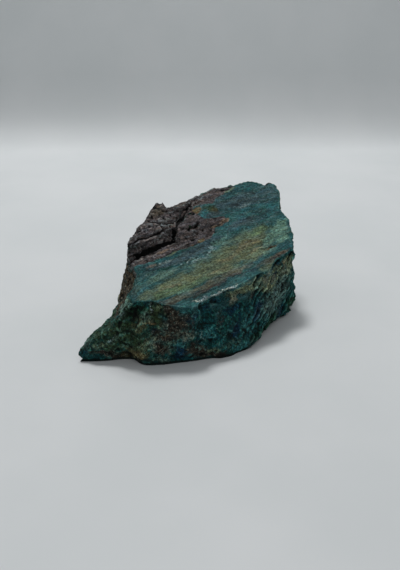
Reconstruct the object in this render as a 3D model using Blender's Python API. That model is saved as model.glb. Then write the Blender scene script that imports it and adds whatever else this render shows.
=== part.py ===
"""A hand-sized lump of rough turquoise in its dark matrix: one solid stone.

It is a broken wedge. Its upper side is a bedding face that climbs from a low front edge to a high back
corner. Its front and right sides are fresh breaks, and a low tail runs out to the left. A raised slab of
matrix covers the upper left of the bedding face and ends in a ledge and a crack. The stone stands on a flat
break.

The stone is built as a cage of corners. The cage is cut into small triangles, its flats are eased, and its
relief is then raised on them. Lengths are in millimetres until the last step. +X is right, +Y is away from
the side with the low front edge, and +Z is up.
"""

import math

import bmesh
import bpy
from mathutils import Vector, noise
from mathutils.geometry import intersect_point_line

# Each column of corners climbs one side of the stone: foot, knee, belly and rim. The columns go round it
# anticlockwise as seen from above, from the tip of the tail.
COLUMNS = (
    ((-36.4, -30.9, 0.0), (-37.3, -30.9, 2.0), (-36.4, -30.4, 4.4), (-35.2, -30.0, 6.2)),  # tip of the tail
    ((-32.4, -31.5, 0.0), (-32.6, -32.0, 2.0), (-32.4, -31.6, 5.0), (-31.6, -30.2, 7.6)),
    ((-27.3, -30.9, 0.0), (-27.8, -31.8, 2.4), (-27.4, -31.8, 7.0), (-27.6, -30.2, 10.8)),
    ((-23.4, -29.9, 0.0), (-23.6, -31.4, 3.0), (-23.6, -32.0, 11.0), (-22.8, -31.6, 18.9)),  # notch
    ((-20.2, -30.6, 0.0), (-20.4, -32.2, 3.4), (-20.6, -33.2, 11.5), (-20.4, -32.2, 19.9)),
    ((-17.4, -33.1, 0.0), (-17.6, -34.2, 3.4), (-17.6, -34.2, 12.0), (-18.0, -32.2, 20.8)),  # front
    ((-14.0, -33.4, 0.0), (-14.2, -34.6, 4.2), (-14.3, -34.0, 13.0), (-14.5, -32.0, 21.0)),
    ((-10.8, -33.3, 0.0), (-10.8, -34.6, 5.0), (-10.8, -33.8, 13.0), (-10.8, -32.0, 20.0)),
    ((-4.8, -31.9, 0.0), (-5.6, -33.6, 4.4), (-6.0, -33.6, 12.0), (-7.0, -31.7, 19.2)),
    ((-1.0, -31.0, 0.0), (-1.2, -32.4, 4.4), (-1.6, -32.4, 12.0), (-2.1, -31.0, 18.4)),
    ((2.7, -29.9, 0.0), (2.6, -31.2, 4.2), (2.0, -30.4, 11.6), (1.2, -28.0, 18.9)),
    ((6.2, -29.0, 0.0), (6.6, -30.0, 3.6), (6.0, -27.8, 11.0), (5.3, -24.1, 19.8)),
    ((9.6, -27.6, 0.0), (10.6, -28.2, 2.6), (10.6, -25.2, 10.4), (10.4, -20.7, 20.1)),
    ((13.2, -25.2, 0.0), (14.8, -25.2, 2.2), (15.4, -21.4, 10.6), (15.7, -15.6, 21.0)),
    ((16.8, -19.5, 0.0), (19.4, -19.8, 2.2), (20.4, -16.0, 11.0), (21.2, -11.0, 21.7)),  # ribbed break
    ((19.6, -13.5, 0.0), (22.4, -14.2, 2.6), (23.4, -11.6, 11.0), (23.3, -8.8, 22.2)),
    ((21.5, -8.0, 0.0), (24.6, -7.8, 2.4), (25.6, -7.4, 11.0), (25.2, -6.5, 22.7)),
    ((24.6, -3.2, 0.0), (28.2, -2.6, 1.8), (28.2, -3.0, 10.4), (27.7, -3.6, 23.5)),
    ((27.2, 1.6, 0.0), (31.2, 0.8, 1.8), (30.0, 0.0, 9.6), (30.4, -0.6, 24.4)),
    ((29.0, 6.0, 0.0), (33.4, 4.0, 3.2), (32.3, 4.2, 14.8), (31.4, 4.1, 26.4)),  # right end
    ((29.8, 11.0, 0.0), (32.8, 9.0, 4.4), (31.6, 8.4, 16.0), (31.1, 8.6, 29.1)),
    ((29.4, 14.6, 0.0), (32.6, 14.4, 5.0), (31.6, 12.8, 19.5), (29.6, 12.2, 31.4)),
    ((26.6, 19.4, 0.0), (31.0, 20.0, 6.6), (30.4, 18.4, 23.5), (27.2, 16.2, 33.1)),
    ((25.8, 23.4, 0.0), (28.8, 26.6, 8.4), (29.6, 25.6, 28.0), (27.6, 22.9, 36.2)),
    ((22.2, 27.4, 0.0), (25.2, 31.0, 6.0), (28.0, 29.0, 29.5), (27.0, 26.2, 38.4)),  # high back corner
    ((19.2, 29.2, 0.0), (21.4, 32.6, 6.2), (25.4, 31.0, 28.8), (25.0, 28.5, 38.5)),
    ((15.8, 30.4, 0.0), (17.0, 33.2, 6.0), (22.0, 31.4, 27.5), (22.5, 24.9, 38.4)),
    ((10.2, 27.4, 0.0), (10.6, 31.6, 9.5), (16.4, 29.0, 30.5), (18.0, 24.6, 39.6)),  # back
    ((3.6, 25.4, 0.0), (4.0, 30.6, 6.4), (9.6, 27.2, 29.0), (12.0, 20.8, 39.5)),
    ((-3.4, 25.0, 0.0), (-3.4, 27.8, 5.0), (3.2, 23.0, 31.0), (5.9, 18.1, 39.9)),
    ((-9.0, 19.4, 0.0), (-9.6, 22.2, 8.4), (-2.6, 19.4, 28.0), (1.3, 14.6, 39.4)),
    ((-11.6, 12.6, 0.0), (-14.2, 16.4, 5.4), (-8.0, 14.0, 29.0), (-2.6, 9.6, 38.5)),
    ((-17.2, 9.4, 0.0), (-18.8, 10.6, 5.0), (-12.4, 8.8, 27.5), (-7.2, 5.8, 38.2)),
    ((-21.0, 3.2, 0.0), (-22.6, 3.6, 6.8), (-16.4, 3.8, 28.5), (-10.6, 1.9, 37.6)),  # nick behind the slab
    ((-21.6, -0.8, 0.0), (-24.2, -0.4, 5.0), (-18.6, 1.0, 27.8), (-12.2, 2.2, 39.0)),
    ((-21.9, -2.8, 0.0), (-24.8, -2.6, 5.8), (-19.8, -1.6, 27.2), (-13.8, 1.2, 39.0)),
    ((-22.2, -4.8, 0.0), (-25.2, -4.8, 6.6), (-20.6, -3.8, 27.0), (-15.9, -2.5, 38.3)),  # left
    ((-24.8, -9.2, 0.0), (-26.6, -9.2, 5.0), (-22.4, -8.8, 25.0), (-18.0, -8.6, 36.4)),
    ((-26.4, -13.0, 0.0), (-27.8, -13.2, 5.6), (-23.4, -13.4, 22.0), (-20.3, -13.6, 34.8)),
    ((-26.8, -17.0, 0.0), (-28.6, -17.0, 5.0), (-24.3, -17.2, 18.0), (-22.1, -17.6, 32.9)),  # slab's corner
    ((-28.4, -20.8, 0.0), (-29.4, -20.8, 5.0), (-25.4, -21.0, 13.4), (-20.3, -28.1, 23.0)),
    ((-30.8, -23.6, 0.0), (-31.4, -23.0, 4.4), (-29.0, -22.6, 8.6), (-27.0, -22.6, 11.6)),  # tail's back
    ((-33.2, -26.4, 0.0), (-34.2, -26.4, 3.2), (-33.2, -26.2, 6.4), (-31.6, -25.9, 8.6)),
)
FOOT, KNEE, BELLY, RIM = range(4)
# Columns whose rim corners the upper faces run between.
TIP, TAIL_LOW, TAIL_MIDDLE, TAIL_HIGH = range(4)
NEAR_CRACK = 31
SLAB_CORNER = 39
TAIL_TOP = 40
TAIL_BACK = 41
TAIL_END = 42

# The slab ends in a ledge: its brow above, and its toe where it meets the bedding face.
BROW = ((-15.7, -13.9, 32.4), (-11.9, -9.4, 32.8), (-8.0, -4.4, 33.2))
TOE = ((-21.5, -20.5, 28.1), (-16.6, -15.5, 29.5), (-12.4, -12.1, 30.0), (-7.9, -8.3, 30.6))
DIP = (-19.4, -23.7, 25.3)
CRACK = ((-6.5, -1.5, 34.0), (-5.3, 1.3, 35.1), (-3.8, 5.1, 36.6))

CRACK_LINE = (TOE[3], BROW[2], *CRACK)

BREAK, BASE, BEDDING, SLAB, LEDGE, TAIL = range(6)

# Bowls and swells of the fresh breaks: centre, reach and height.
LUMPS = (
    ((-20.6, -33.0, 16.6), 3.5, -3.0),  # bowl over the tail
    ((-22.4, -33.0, 10.2), 2.6, -1.1),
    ((-19.0, -33.0, 4.6), 3.0, 0.6),  # lobe by the notch
    ((-16.0, -34.6, 3.6), 3.0, 0.5),
    ((-12.6, -34.3, 11.0), 2.6, -0.8),
    ((-10.6, -33.6, 17.0), 2.2, -0.5),
    ((-5.0, -33.6, 8.0), 4.0, 0.6),
    ((2.0, -31.0, 12.0), 3.4, -0.6),
    ((12.4, -24.6, 9.8), 4.0, -0.9),
    ((19.4, -17.6, 9.6), 3.0, -0.9),
    ((24.6, -8.0, 20.6), 2.4, -1.3),  # recess below the right of the rim
    ((28.4, -3.0, 6.0), 2.2, -0.8),
    ((-27.4, -27.0, 9.8), 2.4, -0.5),  # grey hollow on top of the tail
    ((-33.0, -32.0, 4.6), 2.0, 0.4),
)

# Raised lines: the corners each runs through, its half width and its height.
RIDGES = (
    (((-15.0, -32.4, 20.8), (-16.2, -34.0, 17.4), (-16.6, -34.4, 14.2), (-18.6, -34.2, 12.6)), 1.2, 1.9),
    (((-29.8, -31.6, 8.4), (-26.1, -31.6, 10.6), (-22.4, -32.4, 12.6), (-18.6, -33.4, 12.6)), 1.2, 1.1),
    (((-27.0, -31.8, 5.6), (-23.4, -32.0, 7.4), (-20.0, -33.4, 7.6)), 1.2, 0.5),
    (((22.0, -12.0, 20.6), (25.4, -7.4, 19.6), (28.6, -2.0, 18.4)), 1.2, 0.7),
)

# Bedding: across is its upward normal, and along runs level with the front edge's bands.
ACROSS = Vector((0.233, -0.420, 0.877)).normalized()
ALONG = Vector((0.79, 0.61, 0.0)).normalized()
UP_DIP = ACROSS.cross(ALONG).normalized()
RIB_ACROSS = Vector((-0.39, -0.52, 0.76)).normalized()

FRONT_SIDE = 1.85
BACK_SIDE = 3.2
CRACK_SIDE = 0.75
BACK_FROM = 4.0
# Shares of each round of easing. The paired shares ease the breaks without shrinking them.
BREAK_EASE = (0.5, -0.52) * 5
BEDDING_EASE = (0.5,) * 30
AFTER_EASE = (0.5, -0.5)
CHIP_EASE = (0.35, -0.3)

CHIP_SIZE = 7.5
CHIP_RELIEF = 1.5
SMALL_CHIP_SIZE = 3.6
SMALL_CHIP_RELIEF = 0.6
BACK_CHIP_SIZE = 13.0
BACK_CHIP_RELIEF = 2.4
RIB_PITCH = 4.2
RIB_RELIEF = 0.45
TERRACE = 7.0
TERRACE_RELIEF = 0.45
BREAK_SWELL = 0.25
SLAB_SWELL = 0.3
TAIL_TIP_X = -37.3
EASED_FROM_X = -33.5
CRACK_DEPTH = 0.8
CRACK_HALF_WIDTH = 0.4
TOE_DEPTH = 1.0
FOOT_SHARE = 0.7
LOWEST = 0.25


def clear_scene():
    for obj in list(bpy.data.objects):
        bpy.data.objects.remove(obj)


def cage():
    """The stone's corners joined by flat faces, each marked with the region it belongs to."""
    bm = bmesh.new()
    region = bm.faces.layers.int.new("region")

    def face(kind, *verts):
        bm.faces.new(verts)[region] = kind

    rings = [[bm.verts.new(column[level]) for column in COLUMNS] for level in (FOOT, KNEE, BELLY, RIM)]
    for low, high in zip(rings, rings[1:]):
        for i in range(len(COLUMNS)):
            j = (i + 1) % len(COLUMNS)
            face(BREAK, low[i], low[j], high[j], high[i])
    face(BASE, *reversed(rings[FOOT]))
    rim = rings[RIM]
    brow = [rim[SLAB_CORNER]] + [bm.verts.new(p) for p in BROW]
    toe = [bm.verts.new(p) for p in TOE]
    dip = bm.verts.new(DIP)
    crack = [bm.verts.new(p) for p in CRACK]
    for i in range(3):
        face(LEDGE, toe[i], toe[i + 1], brow[i + 1], brow[i])
    face(SLAB, *brow, *crack, *rim[NEAR_CRACK:SLAB_CORNER])
    edge = rim[TAIL_HIGH:NEAR_CRACK + 1]
    face(BEDDING, *reversed(toe), dip, rim[TAIL_TOP], *edge, *reversed(crack), brow[3])
    face(BREAK, rim[SLAB_CORNER], toe[0], dip, rim[TAIL_TOP])
    face(TAIL, rim[TAIL_HIGH], rim[TAIL_TOP], rim[TAIL_BACK], rim[TAIL_MIDDLE])
    face(TAIL, rim[TAIL_MIDDLE], rim[TAIL_BACK], rim[TAIL_END], rim[TAIL_LOW])
    face(TAIL, rim[TAIL_LOW], rim[TAIL_END], rim[TIP])
    bmesh.ops.recalc_face_normals(bm, faces=bm.faces[:])
    return bm


def line_distance(point, corners):
    """How far a point is from a line through the corners given."""
    nearest = 1000.0
    for a, b in zip(corners, corners[1:]):
        spot, share = intersect_point_line(point, Vector(a), Vector(b))
        if share < 0.0:
            spot = Vector(a)
        if share > 1.0:
            spot = Vector(b)
        nearest = min(nearest, (point - spot).length)
    return nearest


def wanted_side(point):
    """The length of a triangle's side here: short where the stone is seen, longer at its back."""
    if line_distance(point, CRACK_LINE) < 1.6:
        return CRACK_SIDE
    behind = point.y - BACK_FROM
    back = min(max(behind / 12.0, 0.0), 1.0)
    if point.dot(ACROSS) > 32.5:
        back = 0.0
    return FRONT_SIDE + (BACK_SIDE - FRONT_SIDE) * back


def middle(edge):
    return (edge.verts[0].co + edge.verts[1].co) / 2


def cut_small(bm):
    """Cuts every face but the base into triangles of the wanted size."""
    region = bm.faces.layers.int["region"]
    for _ in range(7):
        many = [f for f in bm.faces if len(f.verts) > 3 and f[region] != BASE]
        bmesh.ops.triangulate(bm, faces=many, quad_method="SHORT_EDGE", ngon_method="BEAUTY")
        inner = [e for e in bm.edges if eased_over(e, region)]
        sides = [f for f in bm.faces if f[region] != BASE]
        bmesh.ops.beautify_fill(bm, faces=sides, edges=inner, method="ANGLE")
        long = [e for e in bm.edges if e.calc_length() > 1.35 * wanted_side(middle(e))]
        if not long:
            break
        bmesh.ops.subdivide_edges(bm, edges=long, cuts=1)


def eased_over(edge, region):
    """Whether an edge lies inside one region, and so can be eased and turned."""
    faces = edge.link_faces
    return len(faces) == 2 and faces[0][region] == faces[1][region] and faces[0][region] != BASE


def ease(bm, kinds, shares):
    """Relaxes the corners inside the regions given. Their borders and the tail's tip stay as they are."""
    region = bm.faces.layers.int["region"]
    free = []
    for vert in bm.verts:
        around = {f[region] for f in vert.link_faces}
        if len(around) == 1 and around <= kinds and vert.co.x > EASED_FROM_X:
            free.append(vert)
    for share in shares:
        moved = []
        for vert in free:
            others = [e.other_vert(vert).co for e in vert.link_edges]
            mean = sum(others, Vector()) / len(others)
            moved.append(vert.co.lerp(mean, share))
        for vert, spot in zip(free, moved):
            vert.co = spot


def chips(point, size, lean):
    """Flat chips of about the size given, each at its own height and tilt: about -0.5 to 0.5."""
    centre = noise.voronoi(point / size)[1][0]
    key = centre * 9.7
    tilt = noise.cell_vector(key) - Vector((0.5, 0.5, 0.5))
    level = noise.cell(key + Vector((3.1, 5.3, 7.9))) - 0.5
    return level * (1.0 - lean) + tilt.dot(point / size - centre) * lean


def swell(distance, reach):
    return math.exp(-((distance / reach) ** 2))


def ribs(point):
    """Steep ribs on the right-hand break, where the stone parts in fibres."""
    share = min(max((point.x - 15.0) / 4.0, 0.0), 1.0) * min(max((12.0 - point.y) / 6.0, 0.0), 1.0)
    if share == 0.0:
        return 0.0
    wander = 2.2 * noise.noise(point / 9.0)
    phase = (point.dot(RIB_ACROSS) + wander) / RIB_PITCH
    return math.cos(2.0 * math.pi * phase) * share


def break_relief(point):
    """Height of the fresh breaks' relief."""
    height = BREAK_SWELL + CHIP_RELIEF * chips(point, CHIP_SIZE, 0.5)
    height += SMALL_CHIP_RELIEF * chips(point + Vector((40.0, 0.0, 0.0)), SMALL_CHIP_SIZE, 0.6)
    behind = min(max((point.y - 2.0) / 10.0, 0.0), 1.0)
    height += BACK_CHIP_RELIEF * chips(point, BACK_CHIP_SIZE, 0.5) * behind
    height += 0.4 * noise.noise(point / 2.6)
    height += RIB_RELIEF * ribs(point)
    for centre, reach, rise in LUMPS:
        height += rise * swell((point - Vector(centre)).length, reach)
    for corners, half_width, rise in RIDGES:
        height += rise * swell(line_distance(point, corners), half_width)
    return height * min(1.0, 0.1 + (point.x - TAIL_TIP_X) / 12.0)


def bedding_place(point):
    """The point with the bedding's run squeezed, which draws relief out along the bands."""
    run = point.dot(ALONG)
    return point - ALONG * (run * 0.8)


def bedding_relief(point):
    """Height of the bedding face's relief: low terraces and streaks along its bands."""
    place = bedding_place(point)
    up = (point.dot(UP_DIP) + 2.5 * noise.noise(point / 11.0)) / TERRACE
    part = up - math.floor(up)
    height = TERRACE_RELIEF * (min(part / 0.4, (1.0 - part) / 0.6) - 0.5)
    height += 0.35 * noise.noise(place / 4.0)
    height += 0.7 * noise.noise(point / 9.0)
    return height


def slab_relief(point):
    """Height of the matrix slab's relief: rough, with small steps along its layers."""
    place = bedding_place(point)
    height = SLAB_SWELL + 1.0 * chips(place, 4.4, 0.35)
    height += 0.5 * noise.noise(point / 3.0)
    return height


def relief(point, kinds):
    """Height to raise a corner by, from the regions that meet at it."""
    heights = []
    for kind in sorted(kinds - {BASE}):
        if kind == BEDDING:
            heights.append(bedding_relief(point))
        elif kind in (SLAB, LEDGE):
            heights.append(slab_relief(point))
        else:
            heights.append(break_relief(point))
    height = sum(heights) / len(heights)
    height -= CRACK_DEPTH * swell(line_distance(point, CRACK_LINE), CRACK_HALF_WIDTH)
    height -= TOE_DEPTH * swell(line_distance(point, TOE), CRACK_HALF_WIDTH)
    return height


def raise_relief(bm):
    """Moves every corner along its normal by its relief, and keeps the base flat."""
    region = bm.faces.layers.int["region"]
    bm.normal_update()
    moved = []
    for vert in bm.verts:
        kinds = {f[region] for f in vert.link_faces}
        spot = vert.co.copy()
        if BASE in kinds:
            outward = Vector((vert.normal.x, vert.normal.y, 0.0)).normalized()
            spot += outward * relief(spot, kinds) * FOOT_SHARE
        else:
            spot += vert.normal * relief(spot, kinds)
            spot.z = max(spot.z, LOWEST)
        moved.append(spot)
    for vert, spot in zip(bm.verts, moved):
        vert.co = spot


def to_origin(bm):
    """Puts the origin on the base, under the middle of the stone's box, and turns lengths to metres."""
    low = [min(v.co[axis] for v in bm.verts) for axis in range(3)]
    high = [max(v.co[axis] for v in bm.verts) for axis in range(3)]
    shift = Vector(((low[0] + high[0]) / 2, (low[1] + high[1]) / 2, low[2]))
    bmesh.ops.translate(bm, vec=-shift, verts=bm.verts[:])
    bmesh.ops.scale(bm, vec=(0.001, 0.001, 0.001), verts=bm.verts[:])


def stone_material():
    material = bpy.data.materials.new("rough_stone")
    material.use_nodes = True
    shader = material.node_tree.nodes["Principled BSDF"]
    shader.inputs["Base Color"].default_value = (0.055, 0.105, 0.1, 1.0)
    shader.inputs["Roughness"].default_value = 0.75
    shader.inputs["Metallic"].default_value = 0.0
    return material


def turquoise_stone():
    bm = cage()
    cut_small(bm)
    ease(bm, {BEDDING}, BEDDING_EASE)
    ease(bm, {BREAK, SLAB, LEDGE, TAIL}, BREAK_EASE)
    raise_relief(bm)
    ease(bm, {BEDDING}, AFTER_EASE)
    ease(bm, {BREAK, SLAB, LEDGE, TAIL}, CHIP_EASE)
    bmesh.ops.triangulate(bm, faces=[f for f in bm.faces if len(f.verts) > 3])
    to_origin(bm)
    mesh = bpy.data.meshes.new("turquoise_stone")
    bm.to_mesh(mesh)
    bm.free()
    mesh.materials.append(stone_material())
    obj = bpy.data.objects.new("turquoise_stone", mesh)
    bpy.context.scene.collection.objects.link(obj)


clear_scene()
turquoise_stone()
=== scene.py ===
"""Rough turquoise: the look of the stone, its stage, lights and camera."""

import math

import bpy
import numpy as np
from mathutils import Matrix, Vector, noise


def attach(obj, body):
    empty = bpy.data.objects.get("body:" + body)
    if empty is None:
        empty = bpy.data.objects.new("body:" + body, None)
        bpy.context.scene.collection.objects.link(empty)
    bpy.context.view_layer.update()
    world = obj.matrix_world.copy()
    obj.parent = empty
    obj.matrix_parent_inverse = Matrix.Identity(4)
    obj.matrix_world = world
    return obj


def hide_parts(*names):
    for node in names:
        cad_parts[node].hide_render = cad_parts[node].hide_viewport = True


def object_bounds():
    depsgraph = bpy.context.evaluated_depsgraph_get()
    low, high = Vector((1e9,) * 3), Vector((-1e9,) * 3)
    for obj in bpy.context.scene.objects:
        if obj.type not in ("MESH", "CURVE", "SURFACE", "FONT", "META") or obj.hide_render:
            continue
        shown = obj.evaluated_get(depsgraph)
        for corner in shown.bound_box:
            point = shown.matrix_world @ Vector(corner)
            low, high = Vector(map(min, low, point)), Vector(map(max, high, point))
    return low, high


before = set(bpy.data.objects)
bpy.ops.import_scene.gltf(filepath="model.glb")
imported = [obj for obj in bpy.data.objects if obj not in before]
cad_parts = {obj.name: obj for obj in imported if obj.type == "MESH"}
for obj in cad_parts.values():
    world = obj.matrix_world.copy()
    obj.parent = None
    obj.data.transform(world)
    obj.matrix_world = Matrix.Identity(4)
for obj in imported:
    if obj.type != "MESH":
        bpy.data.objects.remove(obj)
CAD_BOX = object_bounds()

# The solid was laid out in millimetres before its origin went under the middle of its box. Places below
# are in that layout: add SHIFT to a place in the scene, in millimetres, to get them.
SHIFT = np.array([-2.2358, -0.6037, 0.0])
MM = 0.001

# Directions of the bedding face: along its bands, up its slope and out of it.
OUT = np.array([0.2330, -0.4200, 0.8771])
ALONG = np.array([0.8105, 0.5823, 0.0636])
UP = np.array([-0.5374, 0.6960, 0.4761])

SHARP_ANGLE = 38.0      # edges that bend more than this, in degrees, keep their line
ROUNDINGS = 2           # rounds of subdivision
BOX_GAP = 0.02          # how far the relief stays inside the solid's box, in millimetres
FIBRE = np.array([-0.39, -0.52, 0.76])      # across the ribs of the right-hand end
RIB_SPACING = 1.9       # millimetres
UNDERNEATH = -0.95      # normals that point down more than this belong to the flat underside

CAMERA_PLACE = np.array([0.0, -238.83, 122.56])     # millimetres, in the layout
CAMERA_DIP = 25.0       # degrees below level


# ---------------------------------------------------------------- shape

def node_mesh(node):
    """The solid's welded corners in millimetres of the layout, and its triangles."""
    mesh = node.data
    mesh.calc_loop_triangles()
    corners = np.empty(len(mesh.vertices) * 3)
    mesh.vertices.foreach_get("co", corners)
    corners = corners.reshape(-1, 3)
    triangles = np.empty(len(mesh.loop_triangles) * 3, dtype=np.int32)
    mesh.loop_triangles.foreach_get("vertices", triangles)
    triangles = triangles.reshape(-1, 3)
    keys = np.round(corners * 1e6).astype(np.int64)
    _, first, inverse = np.unique(keys, axis=0, return_index=True, return_inverse=True)
    triangles = inverse.reshape(-1)[triangles]
    keep = (
        (triangles[:, 0] != triangles[:, 1])
        & (triangles[:, 1] != triangles[:, 2])
        & (triangles[:, 2] != triangles[:, 0])
    )
    return corners[first] / MM + SHIFT, triangles[keep]


def unit(vectors):
    return vectors / np.maximum(np.linalg.norm(vectors, axis=1), 1e-12)[:, None]


def crossed(points, triangles):
    """Each triangle's normal, as long as twice its area."""
    a, b, c = (points[triangles[:, i]] for i in range(3))
    return np.cross(b - a, c - a)


def point_normals(points, triangles):
    normals = crossed(points, triangles)
    total = np.zeros_like(points)
    for i in range(3):
        np.add.at(total, triangles[:, i], normals)
    return unit(total)


def edge_table(triangles):
    """Each edge's ends, and the edge numbers of every triangle."""
    pairs = np.stack([triangles, np.roll(triangles, -1, axis=1)], axis=2).reshape(-1, 2)
    edges, inverse = np.unique(np.sort(pairs, axis=1), axis=0, return_inverse=True)
    return edges, inverse.reshape(-1, 3)


def sharp_edges(points, triangles, angle):
    """Edges whose two triangles meet at more than the angle, in degrees."""
    edges, of_triangle = edge_table(triangles)
    normals = unit(crossed(points, triangles))
    total = np.zeros((len(edges), 3))
    for i in range(3):
        np.add.at(total, of_triangle[:, i], normals)
    bend = np.degrees(2.0 * np.arccos(np.clip(np.linalg.norm(total, axis=1) / 2.0, 0.0, 1.0)))
    return edges[bend > angle]


def loop_subdivide(points, triangles, sharp):
    """One round of Loop subdivision. Sharp edges keep their line."""
    count = len(points)
    edges, of_triangle = edge_table(triangles)
    code = edges[:, 0].astype(np.int64) * count + edges[:, 1]
    ordered = np.sort(sharp, axis=1)
    is_sharp = np.isin(code, ordered[:, 0].astype(np.int64) * count + ordered[:, 1])
    opposite = np.zeros((len(edges), 3))
    for i in range(3):
        np.add.at(opposite, of_triangle[:, i], points[triangles[:, (i + 2) % 3]])
    ends = points[edges[:, 0]] + points[edges[:, 1]]
    middle = ends * 0.375 + opposite * 0.125
    middle[is_sharp] = ends[is_sharp] / 2.0

    around = np.zeros((count, 3))
    valence = np.zeros(count)
    crease = np.zeros((count, 3))
    creases = np.zeros(count)
    for i in range(2):
        here = edges[:, i]
        there = edges[:, 1 - i]
        np.add.at(around, here, points[there])
        np.add.at(valence, here, 1)
        np.add.at(crease, here[is_sharp], points[there[is_sharp]])
        np.add.at(creases, here[is_sharp], 1)
    valence = np.maximum(valence, 3)
    beta = np.where(valence == 3, 3.0 / 16.0, 3.0 / (8.0 * valence))[:, None]
    moved = points * (1.0 - valence[:, None] * beta) + around * beta
    on_line = creases == 2
    moved[on_line] = points[on_line] * 0.75 + crease[on_line] * 0.125
    moved[creases > 2] = points[creases > 2]

    a, b, c = triangles.T
    ab, bc, ca = (of_triangle + count).T
    finer = np.concatenate(
        [np.stack(t, axis=1) for t in ((a, ab, ca), (b, bc, ab), (c, ca, bc), (ab, bc, ca))]
    )
    middles = np.nonzero(is_sharp)[0]
    halves = np.concatenate(
        [
            np.stack([edges[middles, 0], middles + count], axis=1),
            np.stack([edges[middles, 1], middles + count], axis=1),
        ]
    )
    return np.concatenate([moved, middle]), finer, halves


# ---------------------------------------------------------------- noise and places on the stone

def wave(points, size, seed=0.0):
    """Smooth noise, about -1 to 1, with lumps of the size given in millimetres."""
    shift = Vector((seed, seed * 1.7, seed * 2.3))
    return np.array([noise.noise(Vector(p) + shift) for p in points / size])


def chips(points, size, seed=0.0):
    """Flat chips of the size given, each at its own height and tilt: about -0.5 to 0.5."""
    half = Vector((0.5, 0.5, 0.5))
    shift = Vector((seed, seed * 1.7, seed * 2.3))
    result = np.empty(len(points))
    for i, p in enumerate(points / size):
        spot = Vector(p) + shift
        centre = noise.voronoi(spot)[1][0]
        tilt = noise.cell_vector(centre * 9.7) - half
        result[i] = (noise.cell(centre * 7.3) - 0.5) * 0.45 + tilt.dot(spot - centre) * 0.6
    return result


def bed_place(points):
    """Places as millimetres along the bands, up the slope and out of the bedding face."""
    return points @ np.stack([ALONG, UP, OUT], axis=1)


def step(value, low, high):
    t = np.clip((value - low) / (high - low), 0.0, 1.0)
    return t * t * (3.0 - 2.0 * t)


def line_gap(flat, line):
    """How far each flat place is from a line through the corners given."""
    gap = np.full(len(flat), 1e9)
    for a, b in zip(line, line[1:]):
        a = np.array(a, dtype=float)
        way = np.array(b, dtype=float) - a
        share = np.clip(((flat - a) @ way) / (way @ way), 0.0, 1.0)
        gap = np.minimum(gap, np.linalg.norm(flat - a - share[:, None] * way, axis=1))
    return gap


def depth_inside(flat, outline):
    """How far each flat place lies inside a closed outline; below zero outside it."""
    gap = line_gap(flat, list(outline) + [outline[0]])
    inside = np.zeros(len(flat), dtype=bool)
    for (x0, y0), (x1, y1) in zip(outline, list(outline[1:]) + [outline[0]]):
        if y0 == y1:
            continue
        crosses = (flat[:, 1] < y0) != (flat[:, 1] < y1)
        at = x0 + (flat[:, 1] - y0) * (x1 - x0) / (y1 - y0)
        inside ^= crosses & (flat[:, 0] < at)
    return np.where(inside, gap, -gap)


def blob(flat, x, y, reach_x, reach_y, turn=0.0):
    """A soft oval: 1 in its middle, 0.5 at its reach and 0 outside."""
    c = math.cos(math.radians(turn))
    s = math.sin(math.radians(turn))
    dx = (flat[:, 0] - x) * c + (flat[:, 1] - y) * s
    dy = (flat[:, 1] - y) * c - (flat[:, 0] - x) * s
    return np.clip(1.5 - np.hypot(dx / reach_x, dy / reach_y), 0.0, 1.0)


# The dark matrix on the bedding face, along and up.
MATRIX = (
    (-30.0, 8.2), (-26.7, 8.8), (-21.4, 8.0), (-15.8, 8.6), (-9.5, 8.7), (-4.5, 8.8), (-1.4, 9.0),
    (1.8, 9.4), (4.6, 10.4), (6.1, 12.0), (8.0, 12.9), (11.1, 13.8), (11.6, 15.3), (9.9, 16.0),
    (7.4, 16.3), (4.9, 17.0), (4.2, 19.3), (3.0, 21.8), (4.6, 23.2), (8.0, 22.2), (11.0, 21.6),
    (13.0, 22.8), (18.0, 24.8), (24.3, 26.6), (24.3, 36.0), (-40.0, 36.0), (-40.0, 8.2),
)
# Cracks on it: a line along and up, its half width and its depth.
CRACKS = (
    (
        ((-9.6, 13.2), (-8.2, 15.0), (-5.1, 18.4), (-2.0, 20.6), (0.6, 22.6), (3.4, 24.0), (6.0, 25.4)),
        0.22, 0.8,
    ),
    (((-27.0, 12.2), (-22.0, 12.4), (-17.0, 12.6), (-13.0, 13.2), (-9.6, 13.2)), 0.28, 0.7),
    (((-27.4, 14.6), (-22.0, 15.4), (-17.0, 15.6), (-12.6, 16.4), (-10.0, 17.4)), 0.35, 0.8),
    (((-14.8, 21.4), (-12.2, 19.8), (-9.4, 18.6), (-6.4, 18.6), (-4.6, 19.4)), 0.28, 0.6),
    (((-20.5, 18.2), (-17.6, 18.6), (-14.4, 18.2), (-11.6, 18.8)), 0.25, 0.35),
    (((-2.8, 14.6), (-1.6, 15.6), (0.2, 15.2), (1.4, 15.8)), 0.45, 0.8),
    (((-20.0, 8.2), (-12.0, 8.9), (-4.0, 9.0)), 0.3, 0.3),
)


def strayed(points):
    """The points moved to and fro by noise, so that a border drawn on them is ragged."""
    result = points.copy()
    for size, reach, seed in ((6.0, 3.6, 51.0), (2.0, 1.4, 61.0)):
        for axis in range(3):
            result[:, axis] += reach * wave(points, size, seed + 2.0 * axis)
    return result


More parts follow.
